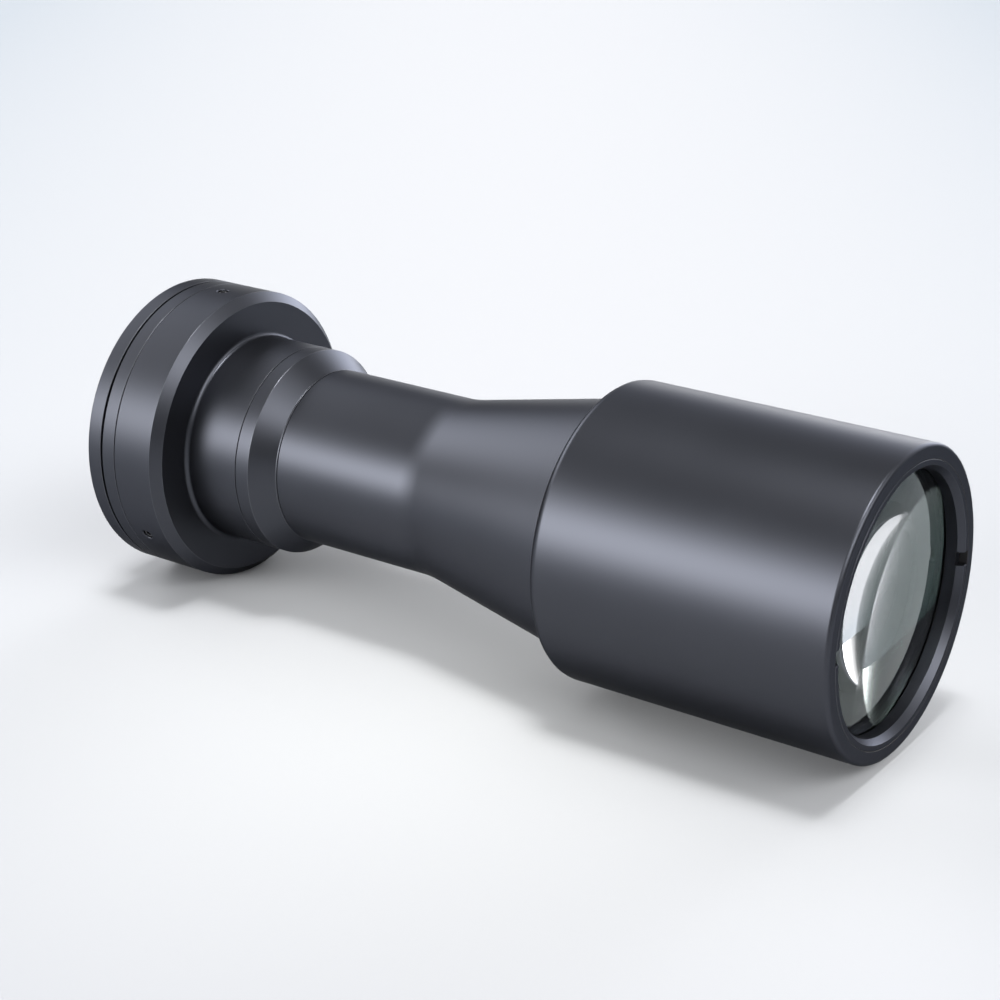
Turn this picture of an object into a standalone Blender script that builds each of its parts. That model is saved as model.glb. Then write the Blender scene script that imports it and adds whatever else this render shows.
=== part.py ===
"""A telecentric lens for a large line-scan camera, lying with its optical axis along X.

The camera end is at -X and the object end at +X. The origin is the middle of the shoulder that
seats on the camera, where the threaded collar starts. All sizes are in metres.
"""
from math import atan, cos, pi, radians, sin, sqrt, tan

import bmesh
import bpy
from mathutils import Matrix

# Roundness of the turned pieces, and the gap left where two pieces meet
SIDES = 40
SCREW_SIDES = 12
GLASS_STEPS = 4
SEAT_GAP = 0.0003

# Threaded collar that screws into the camera
COLLAR_RADIUS = 0.0360
COLLAR_WALL = 0.0018
COLLAR_LENGTH = 0.0077
COLLAR_LEAD = 0.0005
UNDERCUT_WIDTH = 0.0022
UNDERCUT_DEPTH = 0.0005
THROAT_RADIUS = COLLAR_RADIUS - COLLAR_WALL
THROAT_TAPER = 0.155

# The three rings of one diameter behind the slim body, and the spigot inside the clamp ring
SPIGOT_RADIUS = 0.0440
CLAMP_THICKNESS = 0.0082
RING_RADIUS = SPIGOT_RADIUS + CLAMP_THICKNESS
FLANGE_THICKNESS = 0.0059
GROOVE_WIDTH = 0.0010
GROOVE_DEPTH = 0.0010
HUB_THICKNESS = 0.0056
CLAMP_LENGTH = 0.0196
CLAMP_CHAMFER = 0.0032
CLAMP_WALL = 0.0045

# Screws that join the mount flange to the hub, midway across the clamp ring's thickness
FLANGE_SCREW_COUNT = 6
FLANGE_SCREW_CIRCLE = (SPIGOT_RADIUS + RING_RADIUS) / 2.0
FLANGE_SCREW_RADIUS = 0.0015
FLANGE_SCREW_LENGTH = 0.0104
FLANGE_HEAD_RADIUS = 0.0029
FLANGE_HEAD_SINK = 0.0003
FLANGE_SOCKET_RADIUS = 0.00115
FLANGE_SOCKET_DEPTH = 0.0012

# Set screws that hold the hub at any angle
SET_SCREW_COUNT = 3
SET_SCREW_RADIUS = 0.0019
SET_SCREW_PLACE = 0.0070
SET_SCREW_SINK = 0.0006
SET_SOCKET_RADIUS = 0.00115
SET_SOCKET_DEPTH = 0.0022
SET_POINT_RADIUS = 0.0007
VEE_DEPTH = 0.0014
VEE_HALF_WIDTH = 0.0019

# Rear barrel in front of the clamp ring
REAR_BARREL_RADIUS = 0.0367
REAR_BARREL_WALL = 0.0032
REAR_BARREL_LENGTH = 0.0224
ROOT_FILLET = 0.0017
REAR_SEAT_STEP = 0.0030
REAR_SEAT_PLACE = 0.0175
REAR_SEAT_WIDTH = 0.0020
REAR_BORE_RADIUS = REAR_BARREL_RADIUS - REAR_BARREL_WALL
REAR_SEAT_RADIUS = REAR_BORE_RADIUS - REAR_SEAT_STEP

# Shoulder ring that steps down to the slim tube
TUBE_RADIUS = 0.0309
SHOULDER_STRAIGHT = 0.0056
SHOULDER_TAPER = 0.0075
SHOULDER_LIP = 0.0006
SHOULDER_LIP_WALL = 0.0027
SHOULDER_SPIGOT_LENGTH = 0.0072
SHOULDER_SEAT_STEP = 0.0032
SHOULDER_BORE_RADIUS = TUBE_RADIUS - SHOULDER_LIP_WALL
SHOULDER_SEAT_RADIUS = SHOULDER_BORE_RADIUS - SHOULDER_SEAT_STEP

# Front barrel
BARREL_RADIUS = 0.0500
BARREL_LENGTH = 0.1035
BARREL_WALL = 0.0045
BARREL_LEAD = 0.0003
REAR_EDGE_ROUND = 0.0034
FRONT_EDGE_ROUND = 0.0015
FRONT_LIP_WALL = 0.0050
FRONT_SEAT_WIDTH = 0.0060
FRONT_SEAT_STEP = 0.0036
BARREL_RELIEF_RADIUS = BARREL_RADIUS - BARREL_WALL

# Slim tube and cone, turned as one piece; the cone opens until it meets the front barrel's step
TUBE_LENGTH = 0.0551
TUBE_SPIGOT_LENGTH = 0.0117
TUBE_SPIGOT_WALL = 0.0032
BLEND_RADIUS = 0.0400
BARREL_STEP = 0.0066
CONE_ANGLE = radians(11.52)
CONE_WALL = 0.0032
CONE_SPIGOT_STEP = 0.0010
CONE_SPIGOT_LENGTH = 0.0147
WEB_PLACE = 0.0258
WEB_THICKNESS = 0.0040
WEB_STEP = 0.0032
TUBE_BORE_RADIUS = SHOULDER_BORE_RADIUS - SEAT_GAP - TUBE_SPIGOT_WALL
WEB_BORE_RADIUS = TUBE_BORE_RADIUS - WEB_STEP
CONE_END_RADIUS = BARREL_RADIUS - BARREL_STEP
CONE_LENGTH = (CONE_END_RADIUS - TUBE_RADIUS) / tan(CONE_ANGLE)
CONE_SPIGOT_RADIUS = CONE_END_RADIUS - CONE_SPIGOT_STEP

# Front retaining ring with its two spanner slots
FRONT_RING_RADIUS = BARREL_RADIUS - FRONT_LIP_WALL
FRONT_RING_LENGTH = 0.0061
FRONT_RING_WALL = 0.0032
CLEAR_RADIUS = FRONT_RING_RADIUS - FRONT_RING_WALL
FRONT_RING_BEVEL_WIDTH = 0.0015
FRONT_RING_BEVEL_DEPTH = 0.0022
FRONT_SLOT_WIDTH = 0.0046
FRONT_SLOT_DEPTH = 0.0027

# Front glasses: signed radii of curvature, positive where the surface bulges to the front
GLASS_STEP = 0.0006
FRONT_GLASS_RADIUS = FRONT_RING_RADIUS - GLASS_STEP
FRONT_SEAT_RADIUS = FRONT_GLASS_RADIUS - FRONT_SEAT_STEP
CROWN_FRONT_CURVE = 0.240
CROWN_REAR_CURVE = -0.150
CROWN_THICKNESS = 0.0150
CEMENT_LAYER = 0.0002
FLINT_REAR_CURVE = -0.600
FLINT_THICKNESS = 0.0050
SPACER_LENGTH = 0.0100
SPACER_WALL = 0.0029
MENISCUS_FRONT_CURVE = 0.130
MENISCUS_REAR_CURVE = 0.260
MENISCUS_THICKNESS = 0.0075

# Aperture stop and the ring that holds it against the tube's web
STOP_RADIUS = 0.0090
STOP_THICKNESS = 0.0015
STOP_RING_LENGTH = 0.0040
STOP_RING_WALL = 0.0030

# Small glass behind the stop and its ring
MIDDLE_FRONT_CURVE = 0.070
MIDDLE_REAR_CURVE = 0.120
MIDDLE_THICKNESS = 0.0060
MIDDLE_RING_LENGTH = 0.0040
MIDDLE_RING_WALL = 0.0028

# Rear glasses and their ring
REAR_CROWN_FRONT_CURVE = 0.090
REAR_CROWN_REAR_CURVE = -0.110
REAR_CROWN_THICKNESS = 0.0150
REAR_FLINT_REAR_CURVE = -0.400
REAR_FLINT_THICKNESS = 0.0035
REAR_RING_WALL = 0.0030

# Spanner slots of the three inner rings
INNER_SLOT_WIDTH = 0.0030
INNER_SLOT_DEPTH = 0.0015

# Places along the axis, worked out from the lengths above
GROOVE_START = FLANGE_THICKNESS
HUB_START = GROOVE_START + GROOVE_WIDTH
CLAMP_START = HUB_START + HUB_THICKNESS
CLAMP_END = CLAMP_START + CLAMP_LENGTH
POCKET_END = CLAMP_END - CLAMP_WALL
SPIGOT_END = POCKET_END - 2.0 * SEAT_GAP
REAR_BARREL_END = CLAMP_END + REAR_BARREL_LENGTH
SHOULDER_END = REAR_BARREL_END + SHOULDER_STRAIGHT + SHOULDER_TAPER + SHOULDER_LIP
CONE_START = SHOULDER_END + TUBE_LENGTH
BARREL_START = CONE_START + CONE_LENGTH
BARREL_END = BARREL_START + BARREL_LENGTH
REAR_SEAT = SPIGOT_END + REAR_SEAT_PLACE
REAR_SEAT_FRONT = REAR_SEAT + REAR_SEAT_WIDTH
SHOULDER_SPIGOT_START = REAR_BARREL_END - SHOULDER_SPIGOT_LENGTH
TUBE_SPIGOT_START = SHOULDER_END - TUBE_SPIGOT_LENGTH
WEB_START = SHOULDER_END + WEB_PLACE
WEB_END = WEB_START + WEB_THICKNESS
SET_SCREW_X = CLAMP_START + SET_SCREW_PLACE

# Looks: colour, roughness and metallic value of each kind of surface
ANODISED = ((0.050, 0.052, 0.060), 0.38, 0.85)
BLACKENED = ((0.012, 0.012, 0.013), 0.65, 0.20)
DARK_STEEL = ((0.035, 0.035, 0.038), 0.30, 0.95)
FRONT_GLASS = ((0.30, 0.36, 0.40), 0.03, 0.0)


def remove_everything():
    for thing in list(bpy.data.objects):
        bpy.data.objects.remove(thing, do_unlink=True)


def finish(name, look):
    """A material of this piece's own, from one of the looks above."""
    colour, roughness, metallic = look
    material = bpy.data.materials.new(f"{name}_finish")
    material.use_nodes = True
    shader = material.node_tree.nodes["Principled BSDF"]
    shader.inputs["Base Color"].default_value = (*colour, 1.0)
    shader.inputs["Roughness"].default_value = roughness
    shader.inputs["Metallic"].default_value = metallic
    return material


def shaded(mesh):
    """Smooth shading between the sharp edges."""
    mesh.shade_smooth()
    mesh.set_sharp_from_angle(angle=radians(30))
    return mesh


def place(name, mesh, look, matrix=None):
    """Put a mesh in the scene as a named piece."""
    piece = bpy.data.objects.new(name, shaded(mesh))
    bpy.context.scene.collection.objects.link(piece)
    piece.data.materials.clear()
    piece.data.materials.append(finish(name, look))
    if matrix is not None:
        piece.matrix_world = matrix
    return piece


def turned_mesh(name, outline, axis, sides, closed):
    """Spin an outline of (along, radius) points round the X or the Z axis."""
    mesh = bpy.data.meshes.new(name)
    shape = bmesh.new()
    if axis == "X":
        corners = [shape.verts.new((along, 0.0, radius)) for along, radius in outline]
        direction = (1.0, 0.0, 0.0)
    else:
        corners = [shape.verts.new((radius, 0.0, along)) for along, radius in outline]
        direction = (0.0, 0.0, 1.0)
    pairs = list(zip(corners, corners[1:]))
    if closed:
        pairs.append((corners[-1], corners[0]))
    edges = [shape.edges.new(pair) for pair in pairs]
    bmesh.ops.spin(
        shape, geom=corners + edges, axis=direction, cent=(0.0, 0.0, 0.0), angle=2.0 * pi, steps=sides
    )
    bmesh.ops.remove_doubles(shape, verts=shape.verts, dist=1e-6)
    bmesh.ops.recalc_face_normals(shape, faces=shape.faces)
    shape.to_mesh(mesh)
    shape.free()
    return mesh


def ring(name, outline, look):
    """A piece with a hole through it, turned round the optical axis."""
    return place(name, turned_mesh(name, outline, "X", SIDES, closed=True), look)


def arc(centre, radius, start, end, steps):
    """Points of a round corner, from one angle to the other, the angle measured from +X."""
    points = []
    for step in range(steps + 1):
        angle = start + (end - start) * step / steps
        points.append((centre[0] + radius * cos(angle), centre[1] + radius * sin(angle)))
    return points


def cutter(name, mesh):
    """A hidden shape that only cuts."""
    shape = bpy.data.objects.new(name, shaded(mesh))
    bpy.context.scene.collection.objects.link(shape)
    shape.hide_render = True
    shape.display_type = "WIRE"
    return shape


def cut(piece, shape):
    """Take the cutter's shape out of the piece."""
    boolean = piece.modifiers.new(f"cut by {shape.name}", "BOOLEAN")
    boolean.operation = "DIFFERENCE"
    boolean.object = shape


def joined(name, meshes_and_places):
    """One mesh made of several, each moved to its place."""
    mesh = bpy.data.meshes.new(name)
    shape = bmesh.new()
    for part, matrix in meshes_and_places:
        before = len(shape.verts)
        shape.from_mesh(part)
        shape.verts.ensure_lookup_table()
        bmesh.ops.transform(shape, matrix=matrix, verts=shape.verts[before:])
    shape.to_mesh(mesh)
    shape.free()
    return mesh


def around_axis(angle):
    """Turn that carries the top of the lens round the optical axis, towards +Y."""
    return Matrix.Rotation(-angle, 4, "X")


def flange_screw_place(number):
    """A flange screw's own axis, its head towards the camera."""
    angle = 2.0 * pi * (number + 0.5) / FLANGE_SCREW_COUNT
    head = Matrix.Translation((FLANGE_HEAD_SINK, 0.0, FLANGE_SCREW_CIRCLE))
    return around_axis(angle) @ head @ Matrix.Rotation(radians(-90), 4, "Y")


def set_screw_place(number):
    """A set screw's own axis, its socket outwards."""
    angle = 2.0 * pi * number / SET_SCREW_COUNT
    return around_axis(angle) @ Matrix.Translation((SET_SCREW_X, 0.0, RING_RADIUS - SET_SCREW_SINK))


def slot_cutter(name, x_low, x_high, reach, width):
    """A bar across the lens that cuts both slots of a ring, level with the axis."""
    mesh = bpy.data.meshes.new(name)
    shape = bmesh.new()
    bmesh.ops.create_cube(shape, size=1.0)
    size = Matrix.Diagonal((x_high - x_low, 2.0 * reach, width, 1.0))
    middle = Matrix.Translation(((x_low + x_high) / 2.0, 0.0, 0.0))
    bmesh.ops.transform(shape, matrix=middle @ size, verts=shape.verts)
    shape.to_mesh(mesh)
    shape.free()
    return cutter(name, mesh)


def throat(x):
    """Radius of the opening behind the rear glass: straight in the collar, then widening."""
    return THROAT_RADIUS + THROAT_TAPER * max(0.0, x)


def mount_flange():
    """Threaded collar and the ring that seats on the camera, with its countersunk holes."""
    thread_end = -UNDERCUT_WIDTH
    outline = [
        (-COLLAR_LENGTH, THROAT_RADIUS),
        (-COLLAR_LENGTH, COLLAR_RADIUS - COLLAR_LEAD),
        (-COLLAR_LENGTH + COLLAR_LEAD, COLLAR_RADIUS),
        (thread_end, COLLAR_RADIUS),
        (thread_end, COLLAR_RADIUS - UNDERCUT_DEPTH),
        (0.0, COLLAR_RADIUS - UNDERCUT_DEPTH),
        (0.0, RING_RADIUS),
        (FLANGE_THICKNESS, RING_RADIUS),
        (FLANGE_THICKNESS, throat(FLANGE_THICKNESS)),
        (0.0, THROAT_RADIUS),
    ]
    piece = ring("mount_flange", outline, ANODISED)
    head = FLANGE_HEAD_RADIUS + SEAT_GAP
    hole = FLANGE_SCREW_RADIUS + SEAT_GAP
    past = FLANGE_HEAD_SINK + SEAT_GAP
    countersink = [
        (past, 0.0),
        (past, head),
        (0.0, head),
        (hole - head, hole),
        (-FLANGE_THICKNESS - past, hole),
        (-FLANGE_THICKNESS - past, 0.0),
    ]
    shape = turned_mesh("countersink", countersink, "Z", SCREW_SIDES, closed=False)
    places = [(shape, flange_screw_place(number)) for number in range(FLANGE_SCREW_COUNT)]
    cut(piece, cutter("countersinks", joined("countersinks", places)))


def rotation_hub():
    """Ring behind the groove, with the spigot that turns in the clamp ring and its vee groove."""
    land_start = GROOVE_START + SEAT_GAP
    hub_end = CLAMP_START - SEAT_GAP / 2.0
    outline = [
        (land_start, throat(land_start)),
        (land_start, RING_RADIUS - GROOVE_DEPTH),
        (HUB_START, RING_RADIUS - GROOVE_DEPTH),
        (HUB_START, RING_RADIUS),
        (hub_end, RING_RADIUS),
        (hub_end, SPIGOT_RADIUS),
        (SET_SCREW_X - VEE_HALF_WIDTH, SPIGOT_RADIUS),
        (SET_SCREW_X, SPIGOT_RADIUS - VEE_DEPTH),
        (SET_SCREW_X + VEE_HALF_WIDTH, SPIGOT_RADIUS),
        (SPIGOT_END, SPIGOT_RADIUS),
        (SPIGOT_END, throat(SPIGOT_END)),
    ]
    piece = ring("rotation_hub", outline, ANODISED)
    hole_end = FLANGE_HEAD_SINK + FLANGE_SCREW_LENGTH + SEAT_GAP
    hole = FLANGE_SCREW_RADIUS + SEAT_GAP
    outline = [(0.0, 0.0), (0.0, hole), (-hole_end, hole), (-hole_end, 0.0)]
    shape = turned_mesh("tapped_hole", outline, "Z", SCREW_SIDES, closed=False)
    places = [(shape, flange_screw_place(number)) for number in range(FLANGE_SCREW_COUNT)]
    cut(piece, cutter("tapped_holes", joined("tapped_holes", places)))


def socket(radius, depth):
    """Cutter for a hexagon socket, down from a screw's top."""
    outline = [(SEAT_GAP, 0.0), (SEAT_GAP, radius), (-depth, radius), (-depth, 0.0)]
    return turned_mesh("socket", outline, "Z", 6, closed=False)


def screw_mesh(name, outline, socket_shape):
    """A screw's mesh with its socket cut once, to be shared by all its copies."""
    blank = bpy.data.objects.new(name, turned_mesh(name, outline, "Z", SCREW_SIDES, closed=False))
    tool = bpy.data.objects.new(f"{name}_socket", socket_shape)
    for thing in (blank, tool):
        bpy.context.scene.collection.objects.link(thing)
    cut(blank, tool)
    evaluated = blank.evaluated_get(bpy.context.evaluated_depsgraph_get())
    mesh = bpy.data.meshes.new_from_object(evaluated)
    for thing in (blank, tool):
        bpy.data.objects.remove(thing, do_unlink=True)
    return mesh


def flange_screws():
    """Countersunk socket screws through the mount flange into the hub."""
    neck = FLANGE_SCREW_RADIUS - FLANGE_HEAD_RADIUS
    outline = [
        (0.0, 0.0),
        (0.0, FLANGE_HEAD_RADIUS),
        (neck, FLANGE_SCREW_RADIUS),
        (-FLANGE_SCREW_LENGTH, FLANGE_SCREW_RADIUS),
        (-FLANGE_SCREW_LENGTH, 0.0),
    ]
    mesh = screw_mesh("flange_screw", outline, socket(FLANGE_SOCKET_RADIUS, FLANGE_SOCKET_DEPTH))
    for number in range(FLANGE_SCREW_COUNT):
        place(f"flange_screw_{number + 1}", mesh.copy(), DARK_STEEL, flange_screw_place(number))


def set_screws():
    """Cone-point set screws, flush in the clamp ring, with their points in the hub's vee groove."""
    top = RING_RADIUS - SET_SCREW_SINK
    vee_bottom = SPIGOT_RADIUS - VEE_DEPTH
    slope = VEE_DEPTH / VEE_HALF_WIDTH
    point = vee_bottom + SET_POINT_RADIUS * slope + SEAT_GAP / cos(atan(slope))
    cone_end = point + (SET_SCREW_RADIUS - SET_POINT_RADIUS) * slope
    outline = [
        (0.0, 0.0),
        (0.0, SET_SCREW_RADIUS),
        (cone_end - top, SET_SCREW_RADIUS),
        (point - top, SET_POINT_RADIUS),
        (point - top, 0.0),
    ]
    mesh = screw_mesh("set_screw", outline, socket(SET_SOCKET_RADIUS, SET_SOCKET_DEPTH))
    for number in range(SET_SCREW_COUNT):
        place(f"set_screw_{number + 1}", mesh.copy(), DARK_STEEL, set_screw_place(number))


def rear_barrel():
    """Clamp ring and rear barrel in one piece, bored for the hub's spigot and the rear glasses."""
    start = CLAMP_START + SEAT_GAP / 2.0
    end = REAR_BARREL_END - SEAT_GAP / 2.0
    fillet = arc(
        (CLAMP_END + ROOT_FILLET, REAR_BARREL_RADIUS + ROOT_FILLET), ROOT_FILLET, pi, 1.5 * pi, 3
    )
    outline = [
        (start, SPIGOT_RADIUS + SEAT_GAP),
        (start, RING_RADIUS),
        (CLAMP_END - CLAMP_CHAMFER, RING_RADIUS),
        (CLAMP_END, RING_RADIUS - CLAMP_CHAMFER),
        *fillet,
        (end, REAR_BARREL_RADIUS),
        (end, REAR_BORE_RADIUS),
        (REAR_SEAT_FRONT, REAR_BORE_RADIUS),
        (REAR_SEAT_FRONT, REAR_SEAT_RADIUS),
        (REAR_SEAT, REAR_SEAT_RADIUS),
        (REAR_SEAT, REAR_BORE_RADIUS),
        (POCKET_END, REAR_BORE_RADIUS),
        (POCKET_END, SPIGOT_RADIUS + SEAT_GAP),
    ]
    piece = ring("rear_barrel", outline, ANODISED)
    hole = SET_SCREW_RADIUS + SEAT_GAP
    depth = RING_RADIUS - SPIGOT_RADIUS
    outline = [(depth, 0.0), (depth, hole), (-depth, hole), (-depth, 0.0)]
    shape = turned_mesh("set_screw_hole", outline, "Z", SCREW_SIDES, closed=False)
    places = [(shape, set_screw_place(number)) for number in range(SET_SCREW_COUNT)]
    cut(piece, cutter("set_screw_holes", joined("set_screw_holes", places)))


def shoulder_ring():
    """Ring that closes the rear barrel and steps down to the slim tube."""
    start = REAR_BARREL_END + SEAT_GAP / 2.0
    end = SHOULDER_END - SEAT_GAP / 2.0
    taper_start = REAR_BARREL_END + SHOULDER_STRAIGHT
    seat = TUBE_SPIGOT_START - SEAT_GAP
    outline = [
        (SHOULDER_SPIGOT_START, SHOULDER_SEAT_RADIUS),
        (SHOULDER_SPIGOT_START, REAR_BORE_RADIUS - SEAT_GAP),
        (start, REAR_BORE_RADIUS - SEAT_GAP),
        (start, REAR_BARREL_RADIUS),
        (taper_start, REAR_BARREL_RADIUS),
        (taper_start + SHOULDER_TAPER, TUBE_RADIUS),
        (end, TUBE_RADIUS),
        (end, SHOULDER_BORE_RADIUS),
        (seat, SHOULDER_BORE_RADIUS),
        (seat, SHOULDER_SEAT_RADIUS),
    ]
    ring("shoulder_ring", outline, ANODISED)


def cone_tube():
    """Slim tube that opens into the long cone, with a soft blend between them."""
    start = SHOULDER_END + SEAT_GAP / 2.0
    shoulder = BARREL_START - SEAT_GAP
    spigot_end = BARREL_START + CONE_SPIGOT_LENGTH
    tangent = BLEND_RADIUS * tan(CONE_ANGLE / 2.0)
    blend = arc(
        (CONE_START - tangent, TUBE_RADIUS + BLEND_RADIUS),
        BLEND_RADIUS,
        1.5 * pi,
        1.5 * pi + CONE_ANGLE,
        3,
    )
    flare = (shoulder - CONE_START) * tan(CONE_ANGLE)
    inner_start = TUBE_RADIUS - CONE_WALL
    spigot_radius = SHOULDER_BORE_RADIUS - SEAT_GAP
    outline = [
        (TUBE_SPIGOT_START, TUBE_BORE_RADIUS),
        (TUBE_SPIGOT_START, spigot_radius),
        (start, spigot_radius),
        (start, TUBE_RADIUS),
        *blend,
        (shoulder, TUBE_RADIUS + flare),
        (shoulder, CONE_SPIGOT_RADIUS),
        (spigot_end, CONE_SPIGOT_RADIUS),
        (spigot_end, inner_start + flare),
        (shoulder, inner_start + flare),
        (CONE_START, inner_start),
        (WEB_END, inner_start),
        (WEB_END, WEB_BORE_RADIUS),
        (WEB_START, WEB_BORE_RADIUS),
        (WEB_START, TUBE_BORE_RADIUS),
    ]
    ring("cone_tube", outline, ANODISED)


def front_barrel():
    """Large barrel that holds the front glasses, with its rounded rear edge."""
    rear_bore = CONE_SPIGOT_RADIUS + SEAT_GAP
    relief_start = BARREL_START + CONE_SPIGOT_LENGTH + SEAT_GAP
    glass_bore = FRONT_GLASS_RADIUS + SEAT_GAP
    ring_bore = FRONT_RING_RADIUS + SEAT_GAP
    ring_bore_start = BARREL_END - FRONT_RING_LENGTH - 2.0 * SEAT_GAP
    seat = front_seat()
    rear_round = arc(
        (BARREL_START + REAR_EDGE_ROUND, BARREL_RADIUS - REAR_EDGE_ROUND),
        REAR_EDGE_ROUND,
        pi,
        0.5 * pi,
        4,
    )
    front_round = arc(
        (BARREL_END - FRONT_EDGE_ROUND, BARREL_RADIUS - FRONT_EDGE_ROUND),
        FRONT_EDGE_ROUND,
        0.5 * pi,
        0.0,
        3,
    )
    outline = [
        (BARREL_START, rear_bore),
        *rear_round,
        *front_round,
        (BARREL_END, ring_bore + BARREL_LEAD),
        (BARREL_END - BARREL_LEAD, ring_bore),
        (ring_bore_start, ring_bore),
        (ring_bore_start, glass_bore),
        (seat, glass_bore),
        (seat, FRONT_SEAT_RADIUS),
        (seat - FRONT_SEAT_WIDTH, FRONT_SEAT_RADIUS),
        (seat - FRONT_SEAT_WIDTH, BARREL_RELIEF_RADIUS),
        (relief_start, BARREL_RELIEF_RADIUS),
        (relief_start, rear_bore),
    ]
    ring("front_barrel", outline, ANODISED)


def front_retaining_ring():
    """Threaded ring that holds the front glasses, with a bevelled mouth and two spanner slots."""
    start = BARREL_END - FRONT_RING_LENGTH
    outline = [
        (start, CLEAR_RADIUS),
        (start, FRONT_RING_RADIUS),
        (BARREL_END, FRONT_RING_RADIUS),
        (BARREL_END, CLEAR_RADIUS + FRONT_RING_BEVEL_WIDTH),
        (BARREL_END - FRONT_RING_BEVEL_DEPTH, CLEAR_RADIUS),
    ]
    piece = ring("front_retaining_ring", outline, ANODISED)
    reach = FRONT_RING_RADIUS + SEAT_GAP
    slot_floor = BARREL_END - FRONT_SLOT_DEPTH
    cut(
        piece,
        slot_cutter("front_slots", slot_floor, BARREL_END + SEAT_GAP, reach, FRONT_SLOT_WIDTH),
    )


def sag(curve, radius):
    """How far a spherical surface has fallen back from its vertex at this radius."""
    depth = abs(curve) - sqrt(curve * curve - radius * radius)
    return depth if curve > 0.0 else -depth


def glass(name, vertex, thickness, front_curve, rear_curve, radius):
    """A lens element: two spherical faces and a ground edge, from its front vertex backwards."""
    heights = [radius * step / GLASS_STEPS for step in range(GLASS_STEPS + 1)]
    front = [(vertex - sag(front_curve, height), height) for height in heights]
    back = [(vertex - thickness - sag(rear_curve, height), height) for height in reversed(heights)]
    mesh = turned_mesh(name, front + back, "X", SIDES, closed=False)
    place(name, mesh, FRONT_GLASS)


def crown_vertex():
    """The front glass touches the inner corner of the front retaining ring."""
    touch = BARREL_END - FRONT_RING_LENGTH - SEAT_GAP
    return touch + sag(CROWN_FRONT_CURVE, CLEAR_RADIUS)


def spacer_start():
    """Front face of the spacer, against the back of the cemented pair."""
    back_vertex = crown_vertex() - CROWN_THICKNESS - CEMENT_LAYER - FLINT_THICKNESS
    return back_vertex - sag(FLINT_REAR_CURVE, FRONT_GLASS_RADIUS - SPACER_WALL) - SEAT_GAP


def meniscus_vertex():
    """The meniscus touches the inner corner of the spacer's rear face."""
    touch = spacer_start() - SPACER_LENGTH - SEAT_GAP
    return touch + sag(MENISCUS_FRONT_CURVE, FRONT_GLASS_RADIUS - SPACER_WALL)


def front_seat():
    """Shoulder in the front barrel that the hollow side of the meniscus rests on."""
    back_vertex = meniscus_vertex() - MENISCUS_THICKNESS
    return back_vertex - sag(MENISCUS_REAR_CURVE, FRONT_GLASS_RADIUS) - SEAT_GAP


def front_glasses():
    """Cemented crown and flint, a spacer ring, and the meniscus behind it."""
    vertex = crown_vertex()
    radius = FRONT_GLASS_RADIUS
    glass(
        "front_crown_element", vertex, CROWN_THICKNESS, CROWN_FRONT_CURVE, CROWN_REAR_CURVE, radius
    )
    flint = vertex - CROWN_THICKNESS - CEMENT_LAYER
    glass("front_flint_element", flint, FLINT_THICKNESS, CROWN_REAR_CURVE, FLINT_REAR_CURVE, radius)
    glass(
        "front_meniscus_element",
        meniscus_vertex(),
        MENISCUS_THICKNESS,
        MENISCUS_FRONT_CURVE,
        MENISCUS_REAR_CURVE,
        radius,
    )
    front = spacer_start()
    plain_ring("front_spacer_ring", front - SPACER_LENGTH, front, radius - SPACER_WALL, radius)


def plain_ring(name, start, end, inner, outer):
    """A ring of rectangular section."""
    outline = [(start, inner), (start, outer), (end, outer), (end, inner)]
    return ring(name, outline, BLACKENED)


def slotted_ring(name, start, end, outer, wall, slot_at_front):
    """A threaded ring with two spanner slots, on the side that the spanner comes from."""
    piece = plain_ring(name, start, end, outer - wall, outer)
    reach = outer + SEAT_GAP
    if slot_at_front:
        low, high = end - INNER_SLOT_DEPTH, end + SEAT_GAP
    else:
        low, high = start - SEAT_GAP, start + INNER_SLOT_DEPTH
    cut(piece, slot_cutter(f"{name}_slots", low, high, reach, INNER_SLOT_WIDTH))


def aperture_stop():
    """Stop plate in front of the tube's web, and its ring, both put in from the front."""
    radius = TUBE_RADIUS - CONE_WALL - SEAT_GAP
    start = WEB_END + SEAT_GAP
    end = start + STOP_THICKNESS
    plain_ring("aperture_stop", start, end, STOP_RADIUS, radius)
    ring_start = end + SEAT_GAP
    ring_end = ring_start + STOP_RING_LENGTH
    slotted_ring("stop_retaining_ring", ring_start, ring_end, radius, STOP_RING_WALL, True)


def middle_glass():
    """Small meniscus behind the web, and its ring, both put in from the rear."""
    radius = TUBE_BORE_RADIUS - SEAT_GAP
    vertex = WEB_START - SEAT_GAP + sag(MIDDLE_FRONT_CURVE, WEB_BORE_RADIUS)
    glass(
        "middle_element", vertex, MIDDLE_THICKNESS, MIDDLE_FRONT_CURVE, MIDDLE_REAR_CURVE, radius
    )
    ring_end = vertex - MIDDLE_THICKNESS - sag(MIDDLE_REAR_CURVE, radius) - SEAT_GAP
    ring_start = ring_end - MIDDLE_RING_LENGTH
    slotted_ring("middle_retaining_ring", ring_start, ring_end, radius, MIDDLE_RING_WALL, False)


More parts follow.
